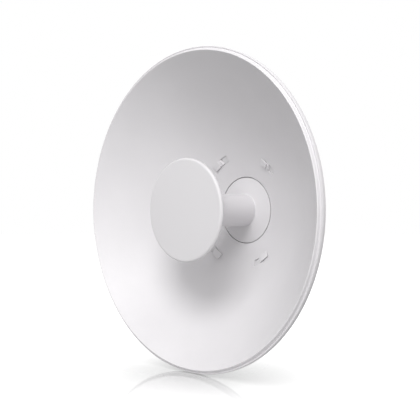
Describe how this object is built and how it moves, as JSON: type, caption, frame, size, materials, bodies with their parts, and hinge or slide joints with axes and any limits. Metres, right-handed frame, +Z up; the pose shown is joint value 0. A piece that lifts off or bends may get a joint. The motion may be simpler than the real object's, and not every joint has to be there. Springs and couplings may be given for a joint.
{
  "type": "dish antenna",
  "caption": "Small parabolic microwave link dish with a stepped rim, a central feed tube, a round subreflector cap, a rear housing and a tilting pole bracket.",
  "frame": {"origin": "middle of the flat rear face of the pole bracket", "axes": "-Y is the direction the dish looks in, +X is right seen from the front, +Z is up"},
  "size_m": [0.42, 0.23, 0.42],
  "materials": {
    "bayonet_lug_lower_left": "satin white moulded plastic",
    "bayonet_lug_lower_right": "satin white moulded plastic",
    "bayonet_lug_upper_left": "satin white moulded plastic",
    "bayonet_lug_upper_right": "satin white moulded plastic",
    "bracket_screw_lower_left": "zinc plated",
    "bracket_screw_lower_right": "zinc plated",
    "bracket_screw_upper_left": "zinc plated",
    "bracket_screw_upper_right": "zinc plated",
    "cable_grommet": "black rubber",
    "feed_cone": "natural white plastic",
    "feed_horn": "satin white moulded plastic",
    "ground_screw": "zinc plated",
    "indicator_window": "smooth light-grey lens",
    "lock_bolt_left": "zinc plated",
    "lock_bolt_right": "zinc plated",
    "lock_nut_left": "zinc plated",
    "lock_nut_right": "zinc plated",
    "pivot_bolt_left": "zinc plated",
    "pivot_bolt_right": "zinc plated",
    "pivot_nut_left": "zinc plated",
    "pivot_nut_right": "zinc plated",
    "pole_bracket": "zinc plated sheet",
    "port_cover": "satin white moulded plastic",
    "port_hood": "satin white moulded plastic",
    "rear_housing": "satin white moulded plastic",
    "reflector": "satin white powder coat on pressed metal",
    "release_latch": "grey moulded plastic",
    "subreflector_cap": "satin white moulded plastic",
    "subreflector_plate": "turned, satin",
    "tilt_bracket": "zinc plated sheet"
  },
  "bodies": {
    "root": {"bayonet_lug_lower_left": "bayonet_lug_lower_left", "bayonet_lug_lower_right": "bayonet_lug_lower_right", "bayonet_lug_upper_left": "bayonet_lug_upper_left", "bayonet_lug_upper_right": "bayonet_lug_upper_right", "bracket_screw_lower_left": "bracket_screw_lower_left", "bracket_screw_lower_right": "bracket_screw_lower_right", "bracket_screw_upper_left": "bracket_screw_upper_left", "bracket_screw_upper_right": "bracket_screw_upper_right", "cable_grommet": "cable_grommet", "feed_cone": "feed_cone", "feed_horn": "feed_horn", "ground_screw": "ground_screw", "indicator_window": "indicator_window", "lock_bolt_left": "lock_bolt_left", "lock_bolt_right": "lock_bolt_right", "lock_nut_left": "lock_nut_left", "lock_nut_right": "lock_nut_right", "pivot_bolt_left": "pivot_bolt_left", "pivot_bolt_right": "pivot_bolt_right", "pivot_nut_left": "pivot_nut_left", "pivot_nut_right": "pivot_nut_right", "pole_bracket": "pole_bracket", "port_cover": "port_cover", "port_hood": "port_hood", "rear_housing": "rear_housing", "reflector": "reflector", "release_latch": "release_latch", "subreflector_cap": "subreflector_cap", "subreflector_plate": "subreflector_plate", "tilt_bracket": "tilt_bracket"}
  },
  "joints": []
}
